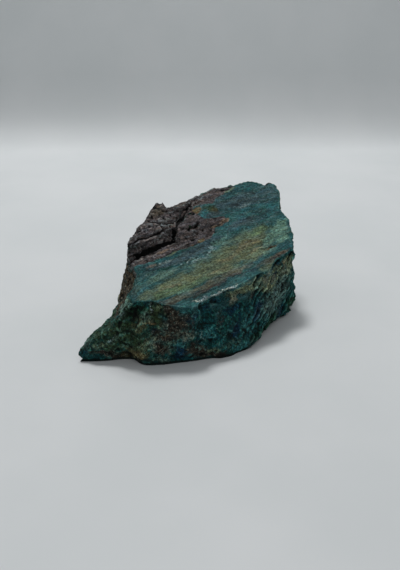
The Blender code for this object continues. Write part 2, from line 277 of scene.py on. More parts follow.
def region_shares(points, normals):
    """How much each point belongs to the bedding face, and to the matrix."""
    bed = bed_place(points)
    top = step(normals @ OUT, 0.70, 0.84) * step(points[:, 2], 14.0, 17.0)
    flat = bed[:, :2].copy()
    flat[:, 0] += 1.2 * wave(points, 3.0, 3.0)
    flat[:, 1] += 0.7 * wave(points, 2.2, 9.0)
    matrix = step(depth_inside(flat, MATRIX), -0.5, 0.5)
    ragged = strayed(points)
    leftward = (ragged[:, 2] - 32.0) * 0.6 - ragged[:, 0]
    slab_side = step(ragged[:, 2], 24.5, 27.5) * step(leftward, 5.0, 8.0) * (1.0 - top)
    return top, np.maximum(matrix * top, slab_side)


def fine_relief(points, normals):
    """Relief too fine for the solid, in millimetres along the normal."""
    bed = bed_place(points)
    top, matrix = region_shares(points, normals)
    rough = (1.0 - top) * (1.0 - matrix)
    bands = np.stack([bed[:, 0] * 0.22, bed[:, 1], bed[:, 2]], axis=1)
    streaks = 0.20 * wave(bands, 1.5) + 0.10 * wave(bands, 0.7, 5.0) + 0.26 * chips(bands, 1.6, 2.0)
    grains = 0.60 * chips(points, 3.4) + 0.40 * chips(points, 1.7, 4.0) + 0.22 * wave(points, 0.9, 6.0)
    layers = bands * np.array([2.0, 1.0, 1.0])
    pits = 0.55 * chips(layers, 1.9, 8.0) + 0.24 * wave(points, 1.0, 7.0) + 0.40 * wave(layers, 2.6, 13.0)
    deep = -0.7 * step(wave(points, 1.5, 12.0), 0.34, 0.6)
    fibre = points @ FIBRE + 1.8 * wave(points, 5.0, 15.0) + 0.5 * wave(points, 2.4, 16.0)
    ribbed = step(points[:, 0], 13.0, 18.0) * step(-points[:, 1], -10.0, -4.0) * (1.0 - top)
    ribs = 0.45 * np.cos(fibre * 2.0 * math.pi / RIB_SPACING) * (0.6 + 1.0 * wave(points, 3.4, 17.0))
    relief = streaks * top * (1.0 - matrix)
    relief += (pits + deep) * matrix
    relief += grains * rough + ribs * ribbed
    flat = bed[:, :2] + 0.35 * np.stack([wave(points, 1.6, 20.0), wave(points, 1.6, 22.0)], axis=1)
    for line, half_width, depth in CRACKS:
        relief -= depth * np.exp(-((line_gap(flat, line) / half_width) ** 2)) * step(points[:, 2], 20.0, 24.0)
    return relief


def dressed_shape(node):
    """The stone's finished surface: the solid's, rounded twice and given its fine relief."""
    points, triangles = node_mesh(node)
    sharp = sharp_edges(points, triangles, SHARP_ANGLE)
    for _ in range(ROUNDINGS):
        points, triangles, sharp = loop_subdivide(points, triangles, sharp)
    normals = point_normals(points, triangles)
    base = step(points[:, 2], 0.05, 1.2)    # none of it on the flat underside
    points = points + normals * (fine_relief(points, normals) * base)[:, None]
    low = np.array(CAD_BOX[0]) / MM + SHIFT
    high = np.array(CAD_BOX[1]) / MM + SHIFT
    points = np.clip(points, low + BOX_GAP, high - BOX_GAP)
    points[base == 0.0, 2] = 0.0
    return points, triangles


# ---------------------------------------------------------------- colour

def srgb(red, green, blue):
    """A screen colour, 0 to 255, as the linear colour that shaders take."""
    parts = []
    for value in (red, green, blue):
        value /= 255.0
        parts.append(value / 12.92 if value <= 0.04045 else ((value + 0.055) / 1.055) ** 2.4)
    return (*parts, 1.0)


PALETTE = {
    "teal": srgb(39, 87, 88),
    "deep_teal": srgb(14, 61, 57),
    "slate": srgb(60, 80, 85),
    "deep_blue": srgb(8, 38, 56),
    "dark_green": srgb(14, 44, 28),
    "grey_green": srgb(82, 108, 96),
    "ash": srgb(64, 84, 80),
    "moss": srgb(39, 54, 33),
    "olive": srgb(96, 108, 84),
    "gold": srgb(116, 114, 88),
    "lime": srgb(90, 112, 84),
    "mint": srgb(98, 134, 118),
    "blue": srgb(58, 97, 98),
    "drab": srgb(98, 102, 88),
    "mauve": srgb(76, 72, 68),
    "brown": srgb(44, 40, 34),
    "matrix": srgb(76, 70, 70),
    "tan": srgb(112, 100, 88),
    "sand": srgb(150, 147, 130),
    "rust": srgb(90, 72, 48),
    "ochre": srgb(74, 69, 44),
    "pale": srgb(132, 152, 152),
    # Painted shade: on the ledge face under the slab and at the foot of the right-hand end.
    "painted_shadow": srgb(17, 18, 17),
    "white": srgb(206, 216, 212),
    "bloom": srgb(92, 132, 122),
    "scratch": srgb(20, 42, 44),
    "hairline": srgb(24, 28, 26),
    "pit": srgb(14, 18, 17),
    # Painted shade: for small crevices, then for broad hollows and the foot.
    "crevice_shade": srgb(18, 20, 18),
    "shade": srgb(10, 14, 13),
}

# Patches on the bedding face: colour, along, up, reach along, reach up, turn and strength.
TOP_PATCHES = (
    ("grey_green", -8.0, -0.8, 20.0, 4.0, 3.0, 0.6),
    ("grey_green", 12.0, 1.4, 16.0, 5.0, 6.0, 0.6),
    ("slate", 22.0, 19.5, 12.0, 3.4, -4.0, 0.8),
    ("slate", 33.0, 20.0, 6.0, 4.0, 0.0, 0.6),
    ("slate", 18.0, 11.0, 9.0, 1.8, 2.0, 0.8),
    ("deep_teal", 21.0, 10.6, 5.0, 0.9, 2.0, 0.5),
    ("slate", -13.0, 5.6, 11.0, 1.3, 0.0, 1.0),
    ("slate", -2.0, 7.4, 8.0, 1.4, 6.0, 0.9),
    ("deep_teal", -16.0, 4.2, 8.0, 0.8, 0.0, 0.6),
    ("grey_green", -21.0, 2.2, 10.0, 1.6, 4.0, 0.7),
    ("grey_green", -31.0, -2.4, 6.0, 1.6, 6.0, 0.6),
    ("ash", -31.4, 3.0, 3.0, 4.0, 0.0, 0.8),
    ("grey_green", -27.0, 3.6, 5.0, 2.6, 10.0, 0.4),
    ("grey_green", -6.0, 2.6, 10.0, 1.6, 5.0, 0.7),
    ("olive", -18.0, -2.2, 12.0, 2.6, 2.0, 0.85),
    ("olive", -6.0, -1.4, 13.0, 3.0, 4.0, 0.9),
    ("olive", 6.0, 0.9, 13.0, 3.8, 8.0, 0.95),
    ("olive", 14.0, 3.0, 10.0, 3.4, 8.0, 0.95),
    ("olive", 12.0, -1.6, 7.0, 1.8, 8.0, 0.9),
    ("olive", -2.4, -3.8, 8.0, 1.2, 5.0, 0.9),
    ("lime", 19.6, 6.0, 5.0, 1.6, 6.0, 0.8),
    ("grey_green", 18.0, -2.6, 4.0, 1.2, 8.0, 0.8),
    ("grey_green", 12.0, 6.4, 12.0, 1.6, 6.0, 0.7),
    ("lime", -21.0, -4.2, 6.0, 1.2, -2.0, 1.0),
    ("lime", -12.0, -4.0, 7.0, 1.0, 2.0, 0.7),
    ("gold", 12.0, 2.6, 6.5, 1.4, 8.0, 0.8),
    ("gold", 14.0, -0.4, 4.0, 0.8, 8.0, 0.6),
    ("gold", 3.0, 0.2, 6.0, 1.0, 8.0, 0.7),
    ("gold", -3.0, -3.2, 6.0, 0.9, 4.0, 0.6),
    ("gold", -19.0, -2.4, 4.0, 0.8, 0.0, 0.6),
    ("mint", 21.0, 1.8, 5.0, 1.6, 12.0, 0.9),
    ("mint", 28.2, 4.4, 4.0, 2.4, 20.0, 0.8),
    ("mint", 25.6, 0.0, 3.4, 1.2, 10.0, 0.8),
    ("mint", 27.4, 2.2, 4.0, 1.6, 12.0, 0.7),
    ("drab", -21.0, -7.0, 5.0, 1.0, -4.0, 0.9),
    ("drab", -9.0, -6.2, 9.0, 1.2, 3.0, 0.8),
    ("drab", 2.0, -5.2, 7.0, 1.0, 6.0, 0.9),
    ("drab", 16.0, -5.8, 5.0, 1.0, 6.0, 0.9),
    ("mint", -17.0, -5.4, 4.0, 0.7, 2.0, 0.6),
    ("mauve", -10.0, -7.4, 8.0, 0.5, 2.0, 0.8),
    ("mauve", 1.0, -6.2, 7.0, 0.5, 6.0, 0.8),
    ("mauve", 19.0, -5.4, 5.0, 0.6, 4.0, 0.8),
    ("brown", -24.0, -7.6, 3.4, 0.9, -4.0, 0.8),
    ("brown", -14.0, -8.2, 5.0, 0.4, 3.0, 0.8),
    ("tan", -25.0, -6.0, 2.6, 0.4, -4.0, 0.5),
    ("rust", 19.4, -1.5, 2.4, 0.4, 4.0, 0.9),
    ("tan", 22.4, -5.0, 4.0, 0.5, 2.0, 0.7),
    ("olive", 15.0, -7.6, 5.0, 1.3, 8.0, 0.9),
    ("olive", 8.0, -11.4, 7.0, 1.8, 4.0, 0.8),
    ("drab", 14.0, -10.6, 5.0, 1.4, 6.0, 0.8),
    ("deep_blue", 15.6, -9.2, 2.6, 0.6, 8.0, 0.8),
    ("blue", -15.0, -9.6, 6.0, 0.7, -4.0, 0.75),
    ("blue", -6.0, -8.9, 7.0, 0.6, 4.0, 0.8),
    ("blue", 3.0, -8.0, 7.0, 0.6, 8.0, 0.75),
    ("slate", 8.0, -6.4, 7.0, 0.5, 12.0, 0.8),
    ("blue", 9.0, -5.6, 6.0, 0.35, 14.0, 0.9),
    ("blue", 15.0, -4.0, 6.0, 0.35, 10.0, 0.8),
    ("slate", 14.0, -3.2, 5.0, 0.4, 10.0, 0.8),
    ("blue", 22.0, -2.6, 4.0, 0.35, 2.0, 0.6),
    # These three white patches paint a highlight along the front rim, over pale chips.
    ("white", -14.2, -10.2, 3.4, 0.8, -2.0, 0.48),
    ("white", -8.0, -10.4, 3.4, 0.6, 12.0, 0.50),
    ("white", -3.6, -10.1, 3.2, 0.5, 2.0, 0.50),
    ("mint", 5.0, 7.4, 5.0, 0.9, 8.0, 0.55),
    ("pale", -26.0, -1.4, 5.0, 1.2, 0.0, 0.14),
    ("pale", -24.0, 4.0, 4.0, 0.8, 0.0, 0.2),
    ("pale", -16.8, 6.4, 2.6, 0.6, 0.0, 0.6),
    ("pale", -9.0, 4.2, 5.0, 0.4, 2.0, 0.45),
    ("pale", -7.0, 3.2, 3.0, 0.6, 2.0, 0.5),
    ("pale", 0.8, 5.9, 1.7, 0.9, -30.0, 0.6),
    ("pale", -1.4, 4.4, 3.2, 0.5, 14.0, 0.45),
    ("pale", 21.4, 17.2, 3.4, 0.6, -8.0, 0.55),
    ("blue", 10.0, 4.6, 6.0, 0.3, 10.0, 0.5),
    ("tan", -22.2, 6.6, 1.5, 0.5, 0.0, 0.8),
    ("olive", -12.0, 8.7, 6.0, 0.5, 0.0, 0.9),
)

# Patches on the dark matrix of the bedding face, laid over it: the same numbers.
MATRIX_PATCHES = (
    ("rust", -1.2, 9.4, 2.4, 0.5, 6.0, 1.0),
    ("gold", -1.4, 9.4, 1.6, 0.3, 6.0, 0.8),
    ("tan", 9.6, 13.7, 2.4, 0.7, 12.0, 1.0),
    ("rust", 6.4, 13.2, 3.0, 0.5, 8.0, 0.6),
    ("rust", 4.5, 20.7, 1.1, 1.2, 60.0, 1.0),
    ("gold", 4.4, 20.8, 0.6, 0.8, 60.0, 0.8),
    ("ochre", 10.8, 19.0, 2.0, 1.0, 0.0, 0.6),
    ("drab", 5.4, 20.0, 1.6, 1.2, 0.0, 0.5),
    ("moss", 9.4, 20.0, 3.6, 1.9, -10.0, 0.7),
    ("slate", 8.8, 17.8, 3.6, 1.2, 10.0, 1.0),
    ("dark_green", 8.0, 20.2, 2.6, 0.9, 0.0, 0.3),
    ("slate", 6.4, 22.4, 1.6, 1.0, 30.0, 0.8),
    ("mauve", -17.0, 10.4, 9.0, 0.8, 2.0, 0.9),
    ("tan", -16.0, 10.6, 4.0, 0.5, 2.0, 0.6),
    # These two brown patches, and the last two patches of this table, paint shade on the ledge face under the
    # slab.
    ("brown", -20.0, 13.8, 7.0, 1.1, 2.0, 0.9),
    ("brown", -13.4, 14.4, 3.0, 1.0, 12.0, 0.9),
    ("brown", -6.6, 22.0, 3.0, 1.4, 20.0, 0.6),
    ("ochre", -9.6, 24.6, 3.4, 1.8, 20.0, 0.5),
    ("rust", -8.2, 23.6, 1.2, 0.6, 30.0, 0.4),
    ("brown", 16.0, 26.2, 8.0, 1.0, 0.0, 0.7),
    ("olive", 21.0, 25.6, 4.0, 0.8, 0.0, 0.7),
    ("pale", 9.2, 25.4, 1.2, 0.7, 20.0, 0.5),
    ("pale", -9.4, 18.8, 3.0, 0.4, -4.0, 0.4),
    ("tan", 0.8, 24.8, 3.0, 0.9, 16.0, 0.5),
    ("pale", 1.0, 24.4, 3.0, 0.6, 16.0, 0.35),
    ("painted_shadow", -24.7, 14.0, 3.0, 0.9, 0.0, 0.8),
    ("painted_shadow", -13.0, 14.8, 2.0, 1.0, 20.0, 0.7),
)

# Patches on the front and right-hand breaks: colour, right, height, reach right, reach up, turn, strength.
FRONT_PATCHES = (
    ("moss", -24.0, 9.0, 14.0, 9.0, 0.0, 0.56),
    ("dark_green", -24.0, 9.0, 13.0, 9.0, 0.0, 0.5),
    ("dark_green", -25.0, 6.0, 5.0, 2.0, 20.0, 0.7),
    ("dark_green", -21.0, 17.0, 4.4, 2.4, 15.0, 1.0),
    ("dark_green", -16.4, 18.8, 2.4, 1.2, 0.0, 0.9),
    ("dark_green", -23.0, 12.6, 3.4, 1.8, 20.0, 0.9),
    ("dark_green", -19.4, 9.6, 2.8, 1.6, 0.0, 0.9),
    ("dark_green", -19.6, 6.8, 2.0, 1.4, 0.0, 0.7),
    ("grey_green", -30.0, 10.2, 4.5, 1.2, 40.0, 0.4),
    ("grey_green", -25.0, 8.4, 3.6, 0.8, 32.0, 0.7),
    ("grey_green", -24.0, 5.4, 4.0, 1.6, 0.0, 0.5),
    ("olive", -29.6, 5.8, 3.4, 1.4, 20.0, 0.45),
    ("grey_green", -24.4, 16.0, 2.6, 1.8, 30.0, 1.0),
    ("pale", -24.2, 15.8, 1.8, 0.7, 30.0, 0.6),
    ("grey_green", -15.4, 16.2, 2.0, 2.0, 0.0, 0.9),
    ("grey_green", -13.0, 9.6, 1.8, 1.8, 0.0, 0.8),
    ("grey_green", 19.0, 18.6, 7.0, 2.0, -6.0, 0.9),
    ("grey_green", 26.0, 15.6, 3.4, 3.0, 0.0, 0.8),
    ("moss", -12.8, 16.6, 2.6, 3.8, 0.0, 1.0),
    ("dark_green", -17.0, 18.4, 3.0, 1.6, 0.0, 0.8),
    ("olive", -16.6, 7.6, 2.2, 2.0, 0.0, 0.6),
    ("moss", -10.0, 16.4, 3.4, 1.6, 0.0, 0.8),
    ("grey_green", -22.6, 19.2, 2.6, 2.0, 30.0, 0.9),
    ("grey_green", -14.4, 8.6, 1.4, 2.2, 0.0, 0.8),
    ("grey_green", -9.0, 7.0, 3.0, 1.6, 0.0, 0.5),
    ("grey_green", -12.0, 1.8, 3.6, 1.4, 0.0, 0.7),
    ("grey_green", 26.0, 14.0, 4.0, 3.6, -20.0, 0.5),
    ("ash", 24.6, 12.0, 5.4, 6.4, -20.0, 0.8),
    ("ash", -35.6, 6.6, 2.4, 2.6, 0.0, 0.9),
    ("grey_green", 9.0, 4.0, 3.4, 2.6, 0.0, 0.4),
    ("olive", -16.4, 14.8, 2.4, 1.6, 10.0, 0.4),
    ("olive", -18.4, 4.0, 2.6, 2.2, 0.0, 0.6),
    ("olive", -11.9, 18.8, 1.2, 1.4, 0.0, 0.6),
    ("olive", -18.4, 15.2, 1.8, 1.2, 30.0, 0.6),
    ("olive", 13.0, 18.6, 5.0, 1.7, 6.0, 0.9),
    ("drab", 10.4, 17.2, 2.6, 1.4, 8.0, 0.7),
    ("brown", 16.2, 16.2, 1.6, 1.4, 20.0, 0.6),
    ("olive", 21.4, 16.8, 3.6, 1.6, 0.0, 0.8),
    ("olive", 12.0, 20.0, 4.0, 1.2, 0.0, 0.7),
    ("olive", 22.5, 18.8, 5.4, 1.8, -10.0, 0.9),
    ("drab", 20.0, 19.4, 4.0, 0.9, -10.0, 0.8),
    ("drab", 27.0, 18.0, 2.4, 2.0, 0.0, 0.6),
    ("olive", 28.8, 19.0, 2.0, 3.0, 0.0, 0.9),
    ("ochre", -18.8, 3.8, 3.0, 2.4, 0.0, 1.0),
    ("ochre", -22.4, 2.0, 2.6, 1.2, 0.0, 0.7),
    ("ochre", -17.8, 13.2, 3.6, 1.6, 30.0, 0.55),
    ("gold", -18.8, 3.8, 2.4, 1.4, 0.0, 0.42),
    ("gold", 27.5, 20.6, 1.6, 1.0, 0.0, 0.7),
    ("gold", 21.0, 17.6, 2.4, 0.8, 0.0, 0.6),
    ("rust", -14.6, 14.0, 1.4, 0.8, 0.0, 0.6),
    ("rust", -9.6, 10.4, 1.4, 0.7, 0.0, 0.6),
    ("brown", -9.4, 9.6, 3.0, 1.6, 0.0, 0.8),
    ("brown", -28.6, 2.8, 3.2, 1.4, 0.0, 0.8),
    ("brown", -25.0, 1.6, 4.0, 0.8, 0.0, 0.8),
    ("brown", -8.2, 18.0, 2.4, 2.6, 0.0, 1.0),
    ("brown", -6.6, 13.6, 4.4, 3.6, 0.0, 0.9),
    ("brown", -12.4, 11.6, 1.6, 1.2, 0.0, 0.8),
    ("brown", -11.6, 6.0, 2.0, 2.0, 0.0, 1.0),
    ("brown", -2.6, 5.0, 2.0, 1.6, 30.0, 0.8),
    ("brown", -0.4, 2.8, 3.8, 1.6, -10.0, 0.9),
    ("drab", 1.0, 4.2, 3.4, 1.4, -10.0, 0.3),
    ("olive", 3.6, 2.8, 3.0, 1.2, 10.0, 0.5),
    ("brown", 3.4, 1.4, 4.6, 0.9, 0.0, 1.0),
    ("brown", 6.0, 12.0, 1.2, 4.0, 0.0, 0.4),
    ("drab", -4.6, 9.6, 4.0, 2.6, 0.0, 0.5),
    ("drab", -8.6, 12.4, 4.4, 2.4, 0.0, 0.5),
    ("drab", -12.6, 8.4, 2.6, 4.0, 0.0, 0.5),
    ("drab", -9.4, 5.6, 2.6, 2.0, 0.0, 0.45),
    ("drab", -17.0, 9.6, 2.6, 2.6, 0.0, 0.3),
    ("deep_blue", -34.6, 3.6, 2.2, 2.2, 0.0, 0.5),
    ("deep_blue", -13.6, 11.4, 1.4, 0.9, 0.0, 0.9),
    ("deep_blue", -5.8, 3.6, 2.0, 2.8, 0.0, 0.9),
    ("deep_blue", 11.4, 8.4, 1.3, 2.3, 0.0, 1.0),
    ("deep_blue", 18.0, 10.4, 1.6, 3.0, 0.0, 0.9),
    ("deep_blue", 10.0, 14.4, 3.0, 1.4, 0.0, 0.7),
    ("deep_blue", 23.0, 20.4, 1.8, 1.1, 0.0, 1.0),
    ("deep_blue", 3.6, 16.6, 4.0, 1.4, 0.0, 0.6),
    ("deep_blue", -2.4, 15.4, 2.2, 1.8, 0.0, 0.6),
    ("dark_green", 22.0, 3.0, 3.6, 2.0, 30.0, 0.8),
    ("deep_blue", 25.4, 4.0, 2.6, 2.2, 0.0, 0.7),
    ("teal", 2.0, 8.6, 2.4, 2.0, 0.0, 0.65),
    ("teal", -6.0, 6.2, 2.0, 1.6, 0.0, 0.65),
    ("teal", 14.6, 8.0, 2.2, 4.0, 0.0, 0.65),
    ("teal", 12.0, 2.6, 4.0, 1.4, 0.0, 0.65),
    ("teal", -4.0, 18.2, 1.6, 1.6, 0.0, 0.8),
    ("teal", -29.0, 5.4, 3.0, 1.6, 0.0, 0.65),
    ("dark_green", 31.0, 4.0, 2.6, 3.0, 0.0, 0.8),
    ("dark_green", 20.0, 2.4, 6.0, 1.6, 0.0, 0.6),
    ("pale", -26.6, 8.6, 2.6, 0.3, 34.0, 0.4),
    ("pale", -13.9, 19.0, 0.35, 2.0, -8.0, 0.7),
    ("pale", 0.6, 8.0, 0.35, 2.4, 12.0, 0.4),
    ("teal", 1.8, 18.6, 2.4, 1.0, 0.0, 0.8),
    ("pale", 1.8, 18.9, 2.2, 0.5, 0.0, 0.45),
    # Painted shade under the foot of the right-hand end.
    ("painted_shadow", 17.0, 1.6, 4.0, 1.3, 0.0, 0.5),
)

# The order in which the colours are laid over each other.
LAYERS = (
    "teal", "slate", "deep_teal", "deep_blue", "dark_green", "grey_green", "ash", "moss", "olive",
    "lime", "mint", "drab", "mauve", "brown", "matrix", "tan", "rust", "ochre", "gold", "blue",
    "pale", "white", "painted_shadow",
)


def colour_shares(points, normals):
    """The share of each colour at every corner."""
    top, matrix = region_shares(points, normals)
    shares = {name: np.zeros(len(points)) for name in LAYERS}
    bed = bed_place(points)[:, :2]
    slow = np.stack([wave(points, 4.0, 31.0), wave(points, 4.0, 33.0)], axis=1)
    quick = np.stack([wave(points, 1.7, 35.0), wave(points, 1.7, 37.0)], axis=1)
    bed = bed + slow * np.array([2.4, 0.7]) + quick * np.array([1.6, 0.3])
    face = points[:, [0, 2]] + slow * 1.3 + quick * 0.9
    front = (1.0 - top) * step(-points[:, 1], -9.0, -5.0) * (1.0 - step(points[:, 2], 24.0, 27.0))
    ragged = strayed(points)
    left = (
        step(-normals[:, 0], 0.20, 0.55)
        * step(ragged[:, 1], -29.5, -26.0)
        * step(ragged[:, 2], 11.5, 15.0)
        * (1.0 - top)
    )
    front = front * (1.0 - left)

    def lay(patches, flat, where):
        for name, x, y, reach_x, reach_y, turn, strength in patches:
            patch = blob(flat, x, y, reach_x, reach_y, turn) * where * strength
            shares[name] = np.maximum(shares[name], patch)

    lay(TOP_PATCHES, bed, top)
    lay(FRONT_PATCHES, face, front)
    for name in LAYERS:
        shares[name] = shares[name] * (1.0 - matrix * top)
    shares["matrix"] = np.maximum(shares["matrix"], matrix)
    lay(MATRIX_PATCHES, bed, top)
    hidden = (1.0 - top) * (1.0 - front) * (1.0 - matrix)
    broad = wave(points, 13.0, 41.0)
    middle = wave(points, 7.0, 47.0)
    for name, amount in (
        ("brown", np.maximum(step(broad, -0.05, 0.25) * 0.65, left * 0.9)),
        ("moss", 0.45 + 0.3 * np.maximum(step(-broad, 0.0, 0.3), left)),
        ("dark_green", step(-middle, 0.1, 0.4) * 0.8),
        ("grey_green", step(wave(points, 5.0, 45.0), 0.1, 0.5) * 0.5),
        ("slate", step(wave(points, 9.0, 43.0), 0.1, 0.4) * 0.6),
        ("olive", step(middle, 0.3, 0.5) * 0.6),
        ("rust", left * 0.38),
    ):
        shares[name] = np.maximum(shares[name], hidden * amount)
    shares["top"] = top
    return shares


def neighbour_mean(values, edges, count):
    """Each corner's mean over the corners it shares an edge with."""
    columns = []
    for column in values.T:
        total = np.zeros(len(values))
        for i in range(2):
            total += np.bincount(edges[:, i], weights=column[edges[:, 1 - i]], minlength=len(values))
        columns.append(total / count)
    return np.stack(columns, axis=1)


def evened(values, triangles, rounds):
    """The corners' values, moved halfway to their neighbours' mean as many times as said."""
    edges, _ = edge_table(triangles)
    count = np.maximum(np.bincount(edges.reshape(-1), minlength=len(values)), 1)
    for _ in range(rounds):
        values = (values + neighbour_mean(values, edges, count)) / 2.0
    return values


def standing_out(points, triangles, rounds):
    """How far each corner stands out of the surface round it, in millimetres; below zero in hollows."""
    smooth = evened(points, triangles, rounds)
    return np.einsum("ij,ij->i", points - smooth, point_normals(points, triangles))


def painted_foot_shade(points, facing):
    """How much painted shade each point gets close above the table, 0 to 1: a painted contact shadow along
    the foot and painted shade under low overhangs; 0 on the underside.
    """
    height = points[:, 2]
    up = facing[:, 2]
    # Painted contact shadow along the foot, and painted shade under overhangs just above the table.
    rim = (1.0 - step(height, 0.4, 1.3)) * step(up, UNDERNEATH, -0.7)
    overhang = 0.8 * (1.0 - step(height, 1.0, 4.0)) * step(-up, 0.2, 0.5) * (up > UNDERNEATH)
    return np.maximum(rim, overhang)


# ---------------------------------------------------------------- material

class Nodes:
    """Short names for making a material's nodes."""

    def __init__(self, material):
        material.use_nodes = True
        self.tree = material.node_tree
        self.shader = self.tree.nodes["Principled BSDF"]

    def put(self, socket, value):
        if isinstance(value, bpy.types.NodeSocket):
            self.tree.links.new(value, socket)
        else:
            socket.default_value = value

    def make(self, kind, **settings):
        node = self.tree.nodes.new(kind)
        for name, value in settings.items():
            setattr(node, name, value)
        return node

    def share(self, name):
        return self.make("ShaderNodeAttribute", attribute_name=name).outputs["Fac"]

    def math(self, operation, a, b=0.0, clamp=False):
        node = self.make("ShaderNodeMath", operation=operation, use_clamp=clamp)
        self.put(node.inputs[0], a)
        self.put(node.inputs[1], b)
        return node.outputs[0]

    def times(self, a, b):
        return self.math("MULTIPLY", a, b)

    def rest(self, value):
        return self.math("SUBTRACT", 1.0, value)

    def ramp(self, value, low, high, to_low=0.0, to_high=1.0):
        node = self.make("ShaderNodeMapRange", interpolation_type="SMOOTHSTEP")
        self.put(node.inputs["Value"], value)
        for name, number in (("From Min", low), ("From Max", high), ("To Min", to_low), ("To Max", to_high)):
            node.inputs[name].default_value = number
        return node.outputs["Result"]

    def mix(self, factor, a, b, blend="MIX"):
        node = self.make("ShaderNodeMix", data_type="RGBA", blend_type=blend)
        self.put(node.inputs[0], factor)
        self.put(node.inputs[6], a)
        self.put(node.inputs[7], b)
        return node.outputs[2]

    def shaded(self, colour, amount, share=1.0):
        """The colour multiplied by an amount, as far as the share says."""
        return self.mix(share, colour, amount, "MULTIPLY")

    def noise(self, place, scale, detail, roughness, distortion=0.0):
        node = self.make("ShaderNodeTexNoise")
        self.put(node.inputs["Vector"], place)
        node.inputs["Scale"].default_value = scale
        node.inputs["Detail"].default_value = detail
        node.inputs["Roughness"].default_value = roughness
        node.inputs["Distortion"].default_value = distortion
        return node.outputs["Fac"]

    def vector(self, operation, place, numbers):
        node = self.make("ShaderNodeVectorMath", operation=operation)
        self.put(node.inputs[0], place)
        node.inputs[1].default_value = numbers
        return node.outputs[0]

    def moved(self, place, numbers):
        return self.vector("ADD", place, numbers)

    def drawn(self, place, numbers):
        return self.vector("MULTIPLY", place, numbers)

    def millimetres(self, turn):
        """The object's own places in millimetres, turned to the axes given."""
        node = self.make("ShaderNodeMapping")
        self.put(node.inputs["Vector"], self.make("ShaderNodeTexCoord").outputs["Object"])
        node.inputs["Rotation"].default_value = turn.to_euler("XYZ")
        node.inputs["Scale"].default_value = (1.0 / MM, 1.0 / MM, 1.0 / MM)
        return node.outputs["Vector"]


class StoneNodes(Nodes):
    """The regions of the stone and the places on it, which all its layers of colour use."""

    def __init__(self, material):
        super().__init__(material)
        self.top = self.share("top")
        self.matrix = self.share("matrix")
        self.rough = self.times(self.rest(self.top), self.rest(self.matrix))
        self.loose = self.millimetres(Matrix.Identity(3))
        self.bed = self.millimetres(Matrix([tuple(ALONG), tuple(UP), tuple(OUT)]))
        # As they lie on the breaks, and drawn out along the bands on the bedding face.
        grain = self.make("ShaderNodeMix", data_type="VECTOR")
        self.put(grain.inputs[0], self.top)
        self.put(grain.inputs[4], self.loose)
        self.put(grain.inputs[5], self.drawn(self.bed, (0.28, 1.0, 1.0)))
        self.grain = grain.outputs[1]
        self.fine = self.noise(self.drawn(self.grain, (1.8, 1.0, 1.0)), 2.2, 5.0, 0.75)
        # Pale colour for dust flecks and for the painted highlight on convex edges.
        self.dust_and_highlight = self.mix(self.matrix, PALETTE["bloom"], PALETTE["pale"])

    def border(self, noise, on_break, on_top):
        """Noise about zero, as strong on the breaks and on the bedding face as said."""
        return self.times(self.math("SUBTRACT", noise, 0.5), self.ramp(self.top, 0.0, 1.0, on_break, on_top))


def layered(n):
    """The palette laid over itself, layer by layer, with ragged streaky borders."""
    small = n.border(n.noise(n.moved(n.grain, (90.0, 90.0, 90.0)), 2.2, 5.0, 0.7), 1.3, 0.9)
    crust = n.border(n.noise(n.drawn(n.grain, (2.0, 1.0, 1.0)), 2.4, 3.0, 0.7), 2.6, 2.6)
    frayed = n.times(small, n.ramp(n.top, 0.0, 1.0, 0.6, 0.15))
    borders = []
    for seed in (0.0, 31.0, 67.0):
        ragged = n.noise(n.moved(n.grain, (seed, seed, seed)), 0.62, 8.0, 0.72)
        borders.append(n.math("ADD", n.border(ragged, 1.4, 1.1), frayed))
    own_border = {"white": crust, "pale": crust, "tan": small}
    first = n.mix(n.top, PALETTE["deep_teal"], PALETTE["teal"])
    second = n.mix(n.top, PALETTE["deep_blue"], PALETTE["slate"])
    colour = n.mix(n.ramp(borders[1], -0.2, 0.2, 0.0, 0.5), first, second)
    for number, name in enumerate(LAYERS):
        share = n.share(name)
        border = own_border.get(name, borders[number % len(borders)])
        amount = n.ramp(n.math("ADD", share, border), 0.18, 0.88)
        present = n.math("MULTIPLY", share, 4.0, clamp=True)
        colour = n.mix(n.times(amount, present), colour, PALETTE[name])
    return colour


def toned(n, colour):
    """Warmer and cooler, lighter and darker, from slow changes down to crumbs and grains."""
    warmth = n.ramp(n.noise(n.moved(n.grain, (12.0, 5.0, 8.0)), 0.9, 5.0, 0.65), 0.32, 0.68)
    colour = n.shaded(colour, n.mix(warmth, (1.12, 1.0, 0.87, 1.0), (0.90, 1.0, 1.11, 1.0)))
    slow = n.noise(n.grain, 0.34, 5.0, 0.6, 0.4)
    colour = n.shaded(colour, n.ramp(slow, 0.3, 0.7, 0.66, 1.36))
    colour = n.shaded(colour, n.ramp(n.fine, 0.34, 0.66, 0.5, 1.6))
    crumbs = n.noise(n.loose, 1.6, 5.0, 0.75)
    colour = n.shaded(colour, n.ramp(crumbs, 0.36, 0.64, 0.15, 2.4), n.times(n.rough, 0.85))
    speckles = n.noise(n.moved(n.loose, (7.0, 3.0, 9.0)), 1.5, 4.0, 0.75)
    colour = n.shaded(colour, n.ramp(speckles, 0.34, 0.66, 0.5, 1.65), n.times(n.top, 0.8))
    layers = n.noise(n.drawn(n.bed, (0.4, 1.0, 1.0)), 1.3, 6.0, 0.72)
    return n.shaded(colour, n.ramp(layers, 0.34, 0.66, 0.4, 1.7), n.matrix)


